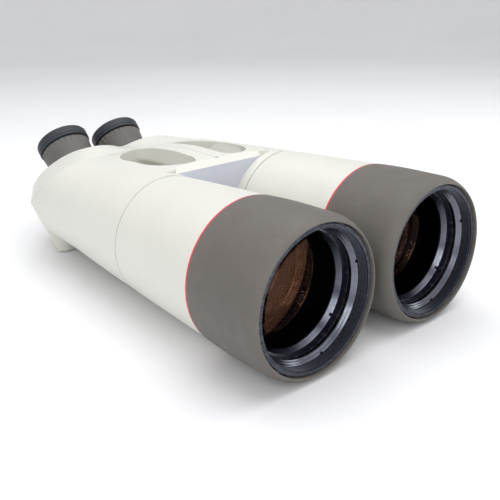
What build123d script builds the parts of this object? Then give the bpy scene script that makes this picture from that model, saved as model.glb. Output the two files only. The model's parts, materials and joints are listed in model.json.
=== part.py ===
"""Giant astronomy binoculars with 45-degree eyepieces, as separate pieces.

Row frame: millimetres, +Z up, the objectives look towards -Y, X = 0 is the plane of
symmetry. The origin is the mouth of the tripod socket, in the plane the instrument
rests on. Left and right are the observer's, so left is at +X.
Stations are distances behind the front ring of the objectives. Radii are about a
barrel's axis, heights are above the barrels' axes unless a comment says otherwise.
"""

import math
import os

from build123d import *

# ---------------------------------------------------------------- driving dimensions
BARREL_X = 62.0  # half the spacing of the objective axes
AXIS_Z = 57.0  # barrel axis above the resting plane, and the hood's largest radius
SOCKET_STATION = 215.0  # tripod socket behind the front ring
FRONT_Y = -SOCKET_STATION

HOOD_REAR = 66.5  # station where the rubber hood ends
TRIM_WIDTH = 1.8  # red ring behind the hood
TUBE_SEAM = 166.5  # station where the front tube meets the body
TUBE_FRONT_R = 55.0
TUBE_REAR_R = 50.1
SEAM_GAP = 0.7  # open groove round each seam
SEAT_R = 52.0  # rubber sits on this radius
RING_R = 51.2  # outside of the front ring
FILTER_R = 47.5  # filter thread, 95 mm nominal
CELL_R = 49.6  # bore that takes the rings and the lens cell
LENS_R = 43.0  # glass

WALL = 4.0  # rear cover's wall
WELL_R = 30.0  # hollow in each lobe, which leaves a thick wall round the finger bowl
BRIDGE_FACE = 176.0  # station of the panel between the barrels
BRIDGE_REAR = 184.5  # station of the seam behind the panel's top
BRIDGE_HALF = 46.0
BEVEL_Z = 47.5  # height where the panel's bevel starts
WEB_Z = -34.0  # underside of the body between the barrels
HALF_GAP = 0.2  # each casting stops this far from the centre plane

BOWL_STATION = 230.5  # middle of the finger bowl
BOWL_SIZE = (104.0, 96.0)
BOWL_CORNER = 35.0
BOWL_R = 53.8  # round floor of the bowl
BOWL_FLOOR = 8.0
HANDLE_HALF = 13.5
HANDLE_UNDER = 35.0  # height of the handle's underside

SEAM_SUM = 335.0  # station + height on the slanted rear seam
RIM_SUM = 378.0  # station + height on the slanted rear face
ROOT2 = math.sqrt(2.0)
COVER_DEPTH = (RIM_SUM - SEAM_SUM) / ROOT2
GASKET = 0.8
LOBE_X = 33.0  # the two lobes of the slanted face
LOBE_R = 50.0
NOTCH_R = 10.0  # rounding between the lobes
FACE_PLATE = 8.0  # thickness of the slanted face
FLANK_POINT = (103.2, 120.0, 57.0)  # the flank runs from here to the foot, in X, Y, Z
FLANK_NORMAL = (0.893, 0.275, -0.357)

TURRET_X = 38.0  # turret axis, and the pitch radius of its gear
TURRET_V = -8.3  # turret axis from the lobe's middle, down the slope
TURRET_R = 37.5
TURRET_PROUD = 2.0
HUB_R = 34.0
HUB_BOTTOM = -24.0
OFFSET = 16.0  # eyepiece axis from the turret axis
EYE_X = 31.4  # half the eye spacing at rest
EYE_V = TURRET_V + math.sqrt(OFFSET**2 - (TURRET_X - EYE_X) ** 2)
GEAR_MODULE = 1.0
RUNNING = 0.05  # radial clearance of a running fit

SIDES = {"left": 1, "right": -1}

# radius of a body lobe and height of the deck on the centre plane, by station
BODY_SECTIONS = (
    (TUBE_SEAM, TUBE_REAR_R, 52.4),
    (186.0, 49.0, 52.5),
    (206.0, 47.9, 53.1),
    (226.0, 46.6, 53.3),
    (246.0, 45.2, 52.0),
    (266.0, 43.8, 49.6),
    (286.0, 42.7, 46.2),
    (306.0, 41.9, 44.1),
    (328.0, 41.3, 43.0),
    (352.0, 41.1, 42.6),
    (376.0, 40.9, 42.3),
    (400.0, 40.8, 42.0),
)


# ---------------------------------------------------------------- planes and axes
def station(s):
    """Y of a station."""
    return FRONT_Y + s


def barrel_section(side):
    """Plane through a barrel's axis: local x is the radius, local y the station."""
    return Plane(origin=(side * BARREL_X, FRONT_Y, AXIS_Z), x_dir=(1, 0, 0), z_dir=(0, 0, 1))


def barrel_axis(side):
    return Axis((side * BARREL_X, FRONT_Y, AXIS_Z), (0, 1, 0))


def cross_section(s):
    """Plane across the instrument at a station: local x is X, local y the height."""
    return Plane(origin=(0, station(s), AXIS_Z), x_dir=(1, 0, 0), z_dir=(0, -1, 0))


# the slanted face: local x is X, local y runs down the slope, z is the eyepieces' way
FACE_MIDDLE = (0, station(369.5), AXIS_Z + 8.5)
FACE = Plane(origin=FACE_MIDDLE, x_dir=(1, 0, 0), z_dir=(0, 1, 1))
SEAM = FACE.offset(-COVER_DEPTH)


def face_axis(x, v):
    """Axis square to the slanted face through a point of it."""
    return Axis(FACE.from_local_coords(Vector(x, v, 0)), (0, 1, 1))


def face_section(x, v):
    """Plane through such an axis: local x is the radius, local y the height over the face."""
    return Plane(
        origin=FACE.from_local_coords(Vector(x, v, 0)), x_dir=(1, 0, 0), z_dir=(0, -1, 1)
    )


def save(part, name):
    part.label = name
    export_step(part, f"parts/{name}.step")


# ---------------------------------------------------------------- objective barrels
def make_hood(side):
    """Rubber sleeve with a rounded lip."""
    with BuildPart() as hood:
        with BuildSketch(barrel_section(side)):
            with BuildLine():
                Polyline((SEAT_R + 0.8, -2.0), (SEAT_R, -1.2), (SEAT_R, HOOD_REAR), (55.6, HOOD_REAR))
                Line((55.6, HOOD_REAR), (AXIS_Z, 44.0))
                Line((AXIS_Z, 44.0), (AXIS_Z, 12.0))
                ThreePointArc((AXIS_Z, 12.0), (55.6, 2.6), (SEAT_R + 0.8, -2.0))
            make_face()
        revolve(axis=barrel_axis(side))
    return hood.part


def make_trim_ring(side):
    with BuildPart() as trim:
        with BuildSketch(barrel_section(side)):
            with BuildLine():
                Polyline(
                    (SEAT_R, HOOD_REAR),
                    (55.3, HOOD_REAR),
                    (55.3, HOOD_REAR + TRIM_WIDTH),
                    (SEAT_R, HOOD_REAR + TRIM_WIDTH),
                    close=True,
                )
            make_face()
        revolve(axis=barrel_axis(side))
    return trim.part


def make_front_tube(side):
    """Tapering tube: a seat for the hood in front, a spigot for the body behind."""
    shoulder = HOOD_REAR + TRIM_WIDTH
    with BuildPart() as tube:
        with BuildSketch(barrel_section(side)):
            with BuildLine():
                Polyline(
                    (CELL_R, 2.4),
                    (RING_R, 2.4),
                    (RING_R, 5.0),
                    (SEAT_R, 5.0),
                    (SEAT_R, shoulder),
                    (TUBE_FRONT_R, shoulder),
                )
                ThreePointArc(
                    (TUBE_FRONT_R, shoulder), (52.75, 119.0), (TUBE_REAR_R, TUBE_SEAM - SEAM_GAP)
                )
                Polyline(
                    (TUBE_REAR_R, TUBE_SEAM - SEAM_GAP),
                    (47.0, TUBE_SEAM - SEAM_GAP),
                    (47.0, 171.0),
                    (45.4, 171.0),
                    (45.4, 173.4),
                    (47.0, 173.4),
                    (47.0, 177.5),
                    (44.0, 177.5),
                    (47.6, 72.0),
                    (CELL_R, 72.0),
                    (CELL_R, 2.4),
                )
            make_face()
        revolve(axis=barrel_axis(side))
    return tube.part


def make_tube_seal(side):
    """O-ring in the spigot's groove."""
    with BuildPart() as seal:
        with BuildSketch(barrel_section(side)):
            with Locations((46.25, 172.2)):
                Circle(0.8)
        revolve(axis=barrel_axis(side))
    return seal.part


def make_filter_ring(side):
    """Front ring: a flange over the tube's end, and a threaded bore for filters."""
    with BuildPart() as ring:
        with BuildSketch(barrel_section(side)):
            with BuildLine():
                Polyline(
                    (FILTER_R, 0.6),
                    (FILTER_R + 0.6, 0.0),
                    (RING_R - 0.4, 0.0),
                    (RING_R, 0.4),
                    (RING_R, 2.4),
                    (CELL_R, 2.4),
                    (CELL_R, 8.4),
                    (FILTER_R, 8.4),
                    close=True,
                )
            make_face()
        revolve(axis=barrel_axis(side))
    return ring.part


def cut_spanner_notches(side, radius, s, angles):
    """Subtract small square notches, opening forwards, from the ring being built."""
    for angle in angles:
        a = math.radians(angle)
        place = Plane(
            origin=(
                side * BARREL_X + radius * math.cos(a),
                station(s),
                AXIS_Z + radius * math.sin(a),
            ),
            x_dir=(-math.sin(a), 0, math.cos(a)),
            z_dir=(0, 1, 0),
        )
        with BuildSketch(place) as notch:
            Rectangle(2.4, 3.0)
        extrude(notch.sketch, amount=2.0, both=True, mode=Mode.SUBTRACT)


def make_stop_ring(side):
    """First machined ring behind the filter thread, with a conical face."""
    with BuildPart() as ring:
        with BuildSketch(barrel_section(side)):
            with BuildLine():
                Polyline(
                    (47.3, 8.4),
                    (44.4, 11.8),
                    (44.4, 15.0),
                    (CELL_R, 15.0),
                    (CELL_R, 8.4),
                    close=True,
                )
            make_face()
        revolve(axis=barrel_axis(side))
        cut_spanner_notches(side, 48.0, 8.4, (-75, 15, 105, 195))
    return ring.part


def make_lens_retainer(side):
    """Second machined ring, with a sleeve that reaches back to the glass."""
    with BuildPart() as ring:
        with BuildSketch(barrel_section(side)):
            with BuildLine():
                Polyline(
                    (44.0, 19.2),
                    (43.0, 19.2),
                    (40.7, 23.2),
                    (40.7, 24.6),
                    (41.4, 25.2),
                    (41.4, 45.6),
                    (42.95, 46.0),
                    (42.95, 24.2),
                    (44.0, 24.2),
                    close=True,
                )
            make_face()
        revolve(axis=barrel_axis(side))
        cut_spanner_notches(side, 43.6, 19.2, (-40, 50, 140, 230))
    return ring.part


def make_lens_cell(side):
    with BuildPart() as cell:
        with BuildSketch(barrel_section(side)):
            with BuildLine():
                Polyline(
                    (44.0, 15.0),
                    (CELL_R, 15.0),
                    (CELL_R, 71.4),
                    (40.5, 71.4),
                    (40.5, 65.9),
                    (LENS_R, 65.9),
                    (LENS_R, 24.2),
                    (44.0, 24.2),
                    close=True,
                )
            make_face()
        revolve(axis=barrel_axis(side))
    return cell.part


def sagitta(sphere_r, r):
    return sphere_r - math.sqrt(sphere_r**2 - r**2)


FRONT_SPHERE = 260.0
INNER_SPHERE = 210.0
LENS_EDGE = 46.2  # station of the front element's rim
FRONT_VERTEX = LENS_EDGE - sagitta(FRONT_SPHERE, LENS_R)
INNER_EDGE = LENS_EDGE + 6.1
LENS_BACK = 65.9
AIR_GAP = 0.5
EYE_SPHERE = 90.0


def make_front_lens(side):
    """Biconvex element, clear over the full aperture."""
    inner_vertex = INNER_EDGE + sagitta(INNER_SPHERE, LENS_R)
    half = LENS_R / 2
    with BuildPart() as lens:
        with BuildSketch(barrel_section(side)):
            with BuildLine():
                ThreePointArc(
                    (0, FRONT_VERTEX),
                    (half, FRONT_VERTEX + sagitta(FRONT_SPHERE, half)),
                    (LENS_R, LENS_EDGE),
                )
                Line((LENS_R, LENS_EDGE), (LENS_R, INNER_EDGE))
                ThreePointArc(
                    (LENS_R, INNER_EDGE),
                    (half, inner_vertex - sagitta(INNER_SPHERE, half)),
                    (0, inner_vertex),
                )
                Line((0, inner_vertex), (0, FRONT_VERTEX))
            make_face()
        revolve(axis=barrel_axis(side))
    return lens.part


def make_rear_lens(side):
    """Element behind a thin air gap, hollow in front and flat behind."""
    front_edge = INNER_EDGE + AIR_GAP
    front_vertex = front_edge + sagitta(INNER_SPHERE, LENS_R)
    half = LENS_R / 2
    with BuildPart() as lens:
        with BuildSketch(barrel_section(side)):
            with BuildLine():
                ThreePointArc(
                    (LENS_R, front_edge),
                    (half, front_vertex - sagitta(INNER_SPHERE, half)),
                    (0, front_vertex),
                )
                Polyline(
                    (0, front_vertex), (0, LENS_BACK), (LENS_R, LENS_BACK), (LENS_R, front_edge)
                )
            make_face()
        revolve(axis=barrel_axis(side))
    return lens.part


def make_baffle(side):
    """Blackened inner tube with knife-edge glare stops."""
    bore = 42.5
    stops = ((92.0, 36.2), (112.0, 34.3), (132.0, 32.4), (152.0, 30.5), (173.0, 28.5))
    outline = [(47.2, 72.5), (bore, 72.5)]
    for s, aperture in stops:
        outline += [(bore, s), (aperture, s), (bore, s + 2.0)]
    outline += [(bore, 176.0), (43.6, 176.0), (43.6, 75.5), (47.2, 75.5)]
    with BuildPart() as baffle:
        with BuildSketch(barrel_section(side)):
            with BuildLine():
                Polyline(*outline, close=True)
            make_face()
        revolve(axis=barrel_axis(side))
    return baffle.part


# ---------------------------------------------------------------- body envelope
def draw_body_section(lobe_r, deck):
    """Two lobes under a crown that touches both, closed by the flat web below."""
    rise = deck - lobe_r
    depth = (BARREL_X**2 - rise**2) / (2 * rise)  # centre of the crown below the axes
    reach = (deck + depth) / (deck + depth - lobe_r)
    touch_x = BARREL_X * reach
    touch_z = depth * (reach - 1)
    web_x = BARREL_X - math.sqrt(lobe_r**2 - WEB_Z**2)
    ThreePointArc((-touch_x, touch_z), (0, deck), (touch_x, touch_z))
    ThreePointArc((touch_x, touch_z), (BARREL_X + lobe_r, 0), (web_x, WEB_Z))
    Line((web_x, WEB_Z), (-web_x, WEB_Z))
    ThreePointArc((-web_x, WEB_Z), (-BARREL_X - lobe_r, 0), (-touch_x, touch_z))


def make_lobes_and_deck():
    """The body's outside: two tapering lobes under one crowned deck."""
    with BuildPart() as envelope:
        for s, lobe_r, deck in BODY_SECTIONS:
            with BuildSketch(cross_section(s)):
                with BuildLine():
                    draw_body_section(lobe_r, deck)
                make_face()
        loft()
        add(make_front_relief(), mode=Mode.SUBTRACT)
    return envelope.part


def make_front_relief():
    """What is cut away in front of the panel, round the two collars."""
    with BuildPart() as relief:
        with BuildSketch(cross_section(BRIDGE_FACE)):
            with Locations((0, 10.0)):
                Rectangle(2 * BARREL_X + 30.0, 100.0)
            with Locations((-BARREL_X, 0), (BARREL_X, 0)):
                Circle(TUBE_REAR_R + 0.3, mode=Mode.SUBTRACT)
        extrude(amount=20.0)
    return relief.part


def make_chin():
    """Foot under the rear: flat below, flaring up and out into the lobes."""
    with BuildPart() as chin:
        with BuildSketch(Plane.XY.offset(1.0)):
            with Locations((0, station(353.0))):
                RectangleRounded(162.0, 37.0, 12.0)
        with BuildSketch(Plane.XY.offset(AXIS_Z - 20.0)):
            with Locations((0, station(365.0))):
                RectangleRounded(180.0, 90.0, 30.0)
        loft()
    return chin.part


def make_flank(side, inset):
    """Half-space that the rear's slanting flank cuts off; the inset moves it inwards."""
    slope = Plane(
        origin=(side * FLANK_POINT[0], FLANK_POINT[1], FLANK_POINT[2]),
        z_dir=(side * FLANK_NORMAL[0], FLANK_NORMAL[1], FLANK_NORMAL[2]),
    )
    with BuildPart() as flank:
        with BuildSketch(slope.offset(-inset)):
            Rectangle(400.0, 400.0)
        extrude(amount=60.0)
    return flank.part


def make_bowl():
    """Finger bowl: a rounded plan with a round floor."""
    with BuildPart() as bowl:
        with BuildSketch(Plane.XY.offset(AXIS_Z - 10.0)):
            with Locations((0, station(BOWL_STATION))):
                RectangleRounded(*BOWL_SIZE, BOWL_CORNER)
        extrude(amount=80.0)
        with BuildSketch(cross_section(BOWL_STATION + 80.0)):
            with Locations((0, BOWL_FLOOR + BOWL_R)):
                Circle(BOWL_R)
        extrude(amount=160.0, mode=Mode.INTERSECT)
    return bowl.part


def make_handle_bar():
    """Carry handle along the centre, wider where it runs into the deck."""
    front = BOWL_STATION - BOWL_SIZE[1] / 2 - 1.0
    rear = BOWL_STATION + BOWL_SIZE[1] / 2 + 1.0
    with BuildPart() as bar:
        with BuildSketch(Plane.XY.offset(AXIS_Z + HANDLE_UNDER)):
            with BuildLine():
                Line((-24.0, station(front)), (24.0, station(front)))
                ThreePointArc(
                    (24.0, station(front)),
                    (16.2, station(front + 8.5)),
                    (HANDLE_HALF, station(front + 22.0)),
                )
                Line((HANDLE_HALF, station(front + 22.0)), (HANDLE_HALF, station(rear - 22.0)))
                ThreePointArc(
                    (HANDLE_HALF, station(rear - 22.0)),
                    (15.8, station(rear - 9.0)),
                    (22.0, station(rear)),
                )
                Line((22.0, station(rear)), (-22.0, station(rear)))
                ThreePointArc(
                    (-22.0, station(rear)),
                    (-15.8, station(rear - 9.0)),
                    (-HANDLE_HALF, station(rear - 22.0)),
                )
                Line((-HANDLE_HALF, station(rear - 22.0)), (-HANDLE_HALF, station(front + 22.0)))
                ThreePointArc(
                    (-HANDLE_HALF, station(front + 22.0)),
                    (-16.2, station(front + 8.5)),
                    (-24.0, station(front)),
                )
            make_face()
        extrude(amount=40.0)
        under = bar.faces().sort_by(Axis.Z)[0]
        fillet(under.edges().filter_by(lambda e: abs(e.center().X) > 1.0), radius=5.0)
    return bar.part


def make_light_well(side):
    """Hollow inside one lobe: the spigot's bore, then a narrower well beside the bowl."""
    with BuildPart() as well:
        with BuildSketch(barrel_section(side)):
            with BuildLine():
                Polyline(
                    (0, 160.0), (47.1, 160.0), (47.1, 179.0), (WELL_R, 179.0),
                    (WELL_R, 420.0), (0, 420.0), close=True,
                )
            make_face()
        revolve(axis=barrel_axis(side))
    return well.part


BRIDGE_SIDE = Plane(origin=(-BRIDGE_HALF, 0, AXIS_Z), x_dir=(0, 1, 0), z_dir=(1, 0, 0))


def make_bridge_zone(front):
    """Block that the front panel takes out of the envelope, clear of both collars."""
    with BuildPart() as zone:
        with BuildSketch(BRIDGE_SIDE):
            with BuildLine():
                Polyline(
                    (station(front), WEB_Z - 1.0),
                    (station(front), 60.0),
                    (station(BRIDGE_REAR), 60.0),
                    (station(BRIDGE_REAR), 47.0),
                    (station(BRIDGE_FACE + 4.0), 42.5),
                    (station(BRIDGE_FACE + 4.0), WEB_Z - 1.0),
                    close=True,
                )
            make_face()
        extrude(amount=2 * BRIDGE_HALF)
        for side in SIDES.values():
            with BuildSketch(cross_section(150.0)):
                with Locations((side * BARREL_X, 0)):
                    Circle(TUBE_REAR_R)
            extrude(amount=-60.0, mode=Mode.SUBTRACT)
    return zone.part


def make_front_bridge(envelope):
    """Pale panel between the barrels, bevelled up to the deck."""
    with BuildPart() as bridge:
        add(make_bridge_zone(BRIDGE_FACE))
        add(envelope, mode=Mode.INTERSECT)
        with BuildSketch(BRIDGE_SIDE):
            with BuildLine():
                Polyline(
                    (station(BRIDGE_FACE - 1.0), BEVEL_Z - 1.0),
                    (station(BRIDGE_FACE - 1.0), BEVEL_Z + 10.0),
                    (station(BRIDGE_FACE + 10.0), BEVEL_Z + 10.0),
                    close=True,
                )
            make_face()
        extrude(amount=2 * BRIDGE_HALF, mode=Mode.SUBTRACT)
        with BuildSketch(Plane.XY.offset(AXIS_Z + 60.0)):
            with Locations((0, station(182.3))):
                Circle(1.7)
        extrude(amount=-20.0, mode=Mode.SUBTRACT)
    return bridge.part


def make_bridge_screw():
    with BuildPart() as screw:
        with BuildSketch(Plane.XY.offset(AXIS_Z + 46.8)):
            with Locations((0, station(182.3))):
                Circle(1.65)
        extrude(amount=5.6)
        chamfer(screw.edges().sort_by(Axis.Z)[-1], length=0.3)
        with BuildSketch(Plane.XY.offset(AXIS_Z + 52.4)):
            with Locations((0, station(182.3))):
                RegularPolygon(0.75, 6)
        extrude(amount=-1.2, mode=Mode.SUBTRACT)
    return screw.part


SHELL_SCREWS = ((194.0, -18.0), (262.0, -18.0))
COVER_SCREWS = ((13.0, 36.0), (45.0, 40.0), (-13.0, 36.0), (-45.0, 40.0))
PLATE_SCREWS = ((-14.0, -36.0), (14.0, -36.0), (-14.0, 40.0), (14.0, 40.0))
PEDESTAL_Z = 8.0  # underside of the body's pedestal above the resting plane


def make_body(envelope):
    """Both castings in one, before they are parted on the centre plane."""
    with BuildPart() as body:
        add(envelope)
        add(make_chin())
        with BuildSketch(Plane.XY.offset(PEDESTAL_Z)):
            with Locations((0, 0)):
                Rectangle(44.0, 92.0)
        extrude(amount=AXIS_Z + WEB_Z - PEDESTAL_Z + 4.0)
        for side in SIDES.values():
            add(make_flank(side, 0.0), mode=Mode.SUBTRACT)
        add(make_bridge_zone(BRIDGE_FACE - 1.0), mode=Mode.SUBTRACT)
        add(make_bowl() - make_handle_bar(), mode=Mode.SUBTRACT)
        for side in SIDES.values():
            add(make_light_well(side), mode=Mode.SUBTRACT)
        with BuildSketch(Plane.XY.offset(AXIS_Z - 32.0)):
            with Locations((0, station(345.0))):
                Rectangle(112.0, 110.0)
        extrude(amount=62.0, mode=Mode.SUBTRACT)
        for x, v in COVER_SCREWS:
            with BuildSketch(SEAM):
                with Locations((x, v)):
                    Circle(1.8)
            extrude(amount=-10.0, mode=Mode.SUBTRACT)
        for x, y in PLATE_SCREWS:
            with BuildSketch(Plane.XY):
                with Locations((x, y)):
                    Circle(2.5)
            extrude(amount=18.0, mode=Mode.SUBTRACT)
        with BuildSketch(Plane.XY):
            Circle(8.0)
        extrude(amount=16.0, mode=Mode.SUBTRACT)
        for s, height in SHELL_SCREWS:
            place = Plane(origin=(0, station(s), AXIS_Z + height), x_dir=(0, 1, 0), z_dir=(1, 0, 0))
            with BuildSketch(place.offset(-12.0)):
                Circle(2.5)
            extrude(amount=26.0, mode=Mode.SUBTRACT)
            with BuildSketch(place.offset(12.0)):
                Circle(4.5)
            extrude(amount=30.0, mode=Mode.SUBTRACT)
        split(bisect_by=SEAM.offset(-GASKET), keep=Keep.BOTTOM)
    return body.part


def make_shell(body, side):
    """One casting: the body on its own side of the centre plane."""
    with BuildPart() as shell:
        add(body)
        cut = Plane(origin=(side * HALF_GAP, 0, 0), z_dir=(side, 0, 0))
        split(bisect_by=cut, keep=Keep.TOP)
    return shell.part


def make_shell_screws():
    """Cap screws across the centre plane, heads in the left casting."""
    with BuildPart() as screws:
        for s, height in SHELL_SCREWS:
            place = Plane(origin=(0, station(s), AXIS_Z + height), x_dir=(0, 1, 0), z_dir=(1, 0, 0))
            with BuildSketch(place.offset(-11.5)):
                Circle(2.45)
            extrude(amount=23.5)
            with BuildSketch(place.offset(12.0)):
                Circle(4.2)
            extrude(amount=4.5)
            with BuildSketch(place.offset(16.5)):
                RegularPolygon(2.2, 6)
            extrude(amount=-2.4, mode=Mode.SUBTRACT)
    return screws.part


# ---------------------------------------------------------------- slanted rear housing
def draw_lobed_outline(lobe_x, lobe_v, lobe_r):
    """Two circles joined by small concave arcs, in the current line builder."""
    reach = lobe_r + NOTCH_R
    drop = math.sqrt(reach**2 - lobe_x**2)
    touch_x = lobe_x * NOTCH_R / reach
    touch_v = drop * lobe_r / reach
    crest = drop - NOTCH_R
    ThreePointArc((-touch_x, lobe_v - touch_v), (0, lobe_v - crest), (touch_x, lobe_v - touch_v))
    for start, end in ((-1, 0), (0, 1)):
        draw_lobe_quarter(lobe_x, lobe_v, lobe_r, touch_x, touch_v, start, end)
    ThreePointArc((touch_x, lobe_v + touch_v), (0, lobe_v + crest), (-touch_x, lobe_v + touch_v))
    for start, end in ((1, 0), (0, -1)):
        draw_lobe_quarter(-lobe_x, lobe_v, lobe_r, -touch_x, touch_v, start, end)


def draw_lobe_quarter(lobe_x, lobe_v, lobe_r, touch_x, touch_v, start, end):
    """Arc of one lobe from its upper (-1), outer (0) or lower (1) point to the next."""
    way = math.copysign(1.0, lobe_x)
    open_angle = math.atan2(touch_v, way * (touch_x - lobe_x))
    points = []
    for t in (start, (start + end) / 2, end):
        a = t * open_angle
        points.append((lobe_x + way * lobe_r * math.cos(a), lobe_v + lobe_r * math.sin(a)))
    ThreePointArc(*points)


def draw_seam_outline(inset):
    """Section of the body on the slanted seam, drawn a little small by the inset."""
    middle = -18.4
    side_r = 41.2 - inset
    top = 58.2 - inset
    bottom = 66.8 - inset
    crown = middle - 62.2 + inset
    Spline(
        (-BARREL_X, middle - top), (0, crown), (BARREL_X, middle - top), tangents=((1, 0), (1, 0))
    )
    EllipticalCenterArc((BARREL_X, middle), side_r, top, start_angle=270, arc_size=90)
    EllipticalCenterArc((BARREL_X, middle), side_r, bottom, start_angle=0, arc_size=90)
    Line((BARREL_X, middle + bottom), (-BARREL_X, middle + bottom))
    EllipticalCenterArc((-BARREL_X, middle), side_r, bottom, start_angle=90, arc_size=90)
    EllipticalCenterArc((-BARREL_X, middle), side_r, top, start_angle=180, arc_size=90)


def make_cover_hollow():
    """Space for the prisms inside the slanted housing."""
    with BuildPart() as hollow:
        with BuildSketch(SEAM):
            with BuildLine():
                draw_seam_outline(WALL)
            make_face()
        with BuildSketch(FACE.offset(-FACE_PLATE)):
            with BuildLine():
                draw_lobed_outline(35.0, -2.0, 47.3)
            make_face()
        loft()
        for side in SIDES.values():
            add(make_flank(side, WALL), mode=Mode.SUBTRACT)
    return hollow.part


def make_rear_cover():
    """Slanted housing that runs from the seam to a two-lobed face."""
    with BuildPart() as cover:
        with BuildSketch(SEAM):
            with BuildLine():
                draw_seam_outline(0.3)
            make_face()
        with BuildSketch(FACE):
            with BuildLine():
                draw_lobed_outline(LOBE_X, 0.0, LOBE_R)
            make_face()
        loft()
        fillet(cover.faces().sort_by(face_axis(0, 0))[-1].edges(), radius=5.0)
        for side in SIDES.values():
            add(make_flank(side, 0.0), mode=Mode.SUBTRACT)
        add(make_cover_hollow(), mode=Mode.SUBTRACT)
        for side in SIDES.values():
            with BuildSketch(FACE.offset(5.0)):
                with Locations((side * TURRET_X, TURRET_V)):
                    Circle(TURRET_R + RUNNING)
            extrude(amount=-20.0, mode=Mode.SUBTRACT)
        for x, v in COVER_SCREWS:
            with BuildSketch(SEAM):
                with Locations((x, v)):
                    Circle(5.0)
            extrude(amount=COVER_DEPTH - 2.0)
            with BuildSketch(FACE):
                with Locations((x, v)):
                    Circle(1.85)
            extrude(amount=-COVER_DEPTH - 1.0, mode=Mode.SUBTRACT)
            with BuildSketch(FACE):
                with Locations((x, v)):
                    Circle(3.4)
            extrude(amount=-3.6, mode=Mode.SUBTRACT)
    return cover.part


def make_cover_screws():
    with BuildPart() as screws:
        for x, v in COVER_SCREWS:
            with BuildSketch(FACE.offset(-3.6)):
                with Locations((x, v)):
                    Circle(1.75)
            extrude(amount=-COVER_DEPTH - 5.0)
            with BuildSketch(FACE.offset(-3.6)):
                with Locations((x, v)):
                    Circle(3.2)
            extrude(amount=3.2)
            with BuildSketch(FACE.offset(-0.4)):
                with Locations((x, v)):
                    RegularPolygon(1.7, 6)
            extrude(amount=-1.9, mode=Mode.SUBTRACT)
    return screws.part


def make_cover_gasket():
    """Flat seal in the slanted seam, set back from the outside."""
    with BuildPart() as gasket:
        with BuildSketch(SEAM):
            with BuildLine():
                draw_seam_outline(1.2)
            make_face()
            with BuildLine():
                draw_seam_outline(3.6)
            make_face(mode=Mode.SUBTRACT)
        extrude(amount=-GASKET)
        for side in SIDES.values():
            add(make_flank(side, 1.2), mode=Mode.SUBTRACT)
    return gasket.part


def make_prism_plate():
    """Plate under the turrets, with two light holes."""
    with BuildPart() as plate:
        with BuildSketch(FACE.offset(HUB_BOTTOM - 0.3)):
            for side in SIDES.values():
                with Locations((side * TURRET_X, TURRET_V)):
                    Circle(36.0)
            with Locations((0, TURRET_V)):
                Rectangle(2 * TURRET_X, 60.0)
            for side in SIDES.values():
                with Locations((side * TURRET_X, TURRET_V)):
                    Circle(10.5, mode=Mode.SUBTRACT)
        extrude(amount=-3.0)
    return plate.part


# ---------------------------------------------------------------- prisms
def make_shift_prism(side):
    """Rhomboid that moves the beam inboard and down."""
    tilt = math.degrees(math.atan2(14.0, BARREL_X - TURRET_X))
    reach = math.hypot(14.0, BARREL_X - TURRET_X)
    inboard = Vector(-side * math.cos(math.radians(tilt)), 0, -math.sin(math.radians(tilt)))
    place = Plane(
        origin=(side * BARREL_X, station(290.0), AXIS_Z), x_dir=inboard, z_dir=inboard.cross(Vector(0, 1, 0))
    )
    with BuildPart() as prism:
        with BuildSketch(place):
            with BuildLine():
                Polyline(
                    (-10.0, 0.0), (10.0, 0.0), (reach + 10.0, reach), (reach - 10.0, reach), close=True
                )
            make_face()
        extrude(amount=9.0, both=True)
    return prism.part


def make_roof_prism(side):
    """Block that turns the beam up by 45 degrees into the turret."""
    place = Plane(
        origin=(side * TURRET_X - 10.0, station(335.6), AXIS_Z - 14.0), x_dir=(0, 1, 0), z_dir=(1, 0, 0)
    )
    with BuildPart() as prism:
        with BuildSketch(place):
            with BuildLine():
                Polyline((-14.0, -11.0), (-14.0, 11.0), (-2.0, 15.6), (14.6, -1.0), close=True)
            make_face()
        extrude(amount=20.0)
    return prism.part


def make_turret_prism(side):
    """Rhomboid that carries the beam from the turret's axis to the eyepiece's."""
    step = Vector(side * (EYE_X - TURRET_X), EYE_V - TURRET_V, 0).normalized()
    centre = FACE.from_local_coords(Vector(side * TURRET_X, TURRET_V, HUB_BOTTOM + 0.5))
    across = FACE.from_local_coords(step) - FACE.from_local_coords(Vector(0, 0, 0))
    place = Plane(origin=centre, x_dir=across, z_dir=across.cross(Vector(0, 1, 1).normalized()))
    with BuildPart() as prism:
        with BuildSketch(place):
            with BuildLine():
                Polyline((-7.8, 0), (7.8, 0), (23.4, 15.2), (7.8, 15.2), close=True)
            make_face()
        extrude(amount=7.5, both=True)
    return prism.part


# ---------------------------------------------------------------- turrets
def gear_point(teeth, r, flank):
    """Point of an involute flank at radius r; flank is +1 or -1 beside the tooth's middle."""
    pressure = math.radians(20.0)
    base = GEAR_MODULE * teeth / 2 * math.cos(pressure)
    involute_pitch = math.tan(pressure) - pressure
    backlash = 0.10 / (GEAR_MODULE * teeth)
    half = math.pi / (2 * teeth) - backlash + involute_pitch
    ratio = max(r / base, 1.0)
    here = math.sqrt(ratio**2 - 1) - math.acos(1 / ratio)
    return flank * (half - here)


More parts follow.
